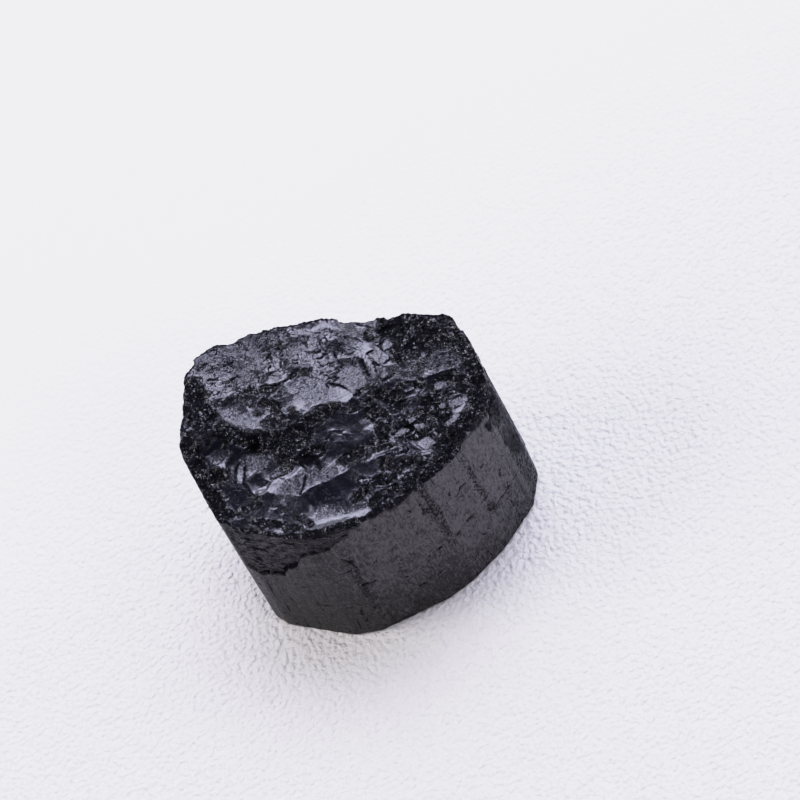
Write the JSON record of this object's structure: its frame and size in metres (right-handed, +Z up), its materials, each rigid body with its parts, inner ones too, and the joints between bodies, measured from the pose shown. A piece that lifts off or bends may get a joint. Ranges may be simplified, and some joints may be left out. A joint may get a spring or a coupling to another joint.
{
  "type": "rough black tourmaline crystal",
  "caption": "Short broken length of a striated black tourmaline prism, standing on its flat base, with a stepped shell-fractured top.",
  "frame": {"origin": "centre of the broken base, on the surface that the stone stands on", "axes": "+Z up along the prism's long axis, +X to the right along the stone's widest extent, -Y towards the side with the long striated faces"},
  "size_m": [0.027, 0.023, 0.0188],
  "materials": {
    "black_tourmaline": "opaque black; glassy on the broken top, satin and finely striated along the prism faces, sugary where crushed"
  },
  "bodies": {
    "root": {"tourmaline": "black_tourmaline"}
  },
  "joints": []
}
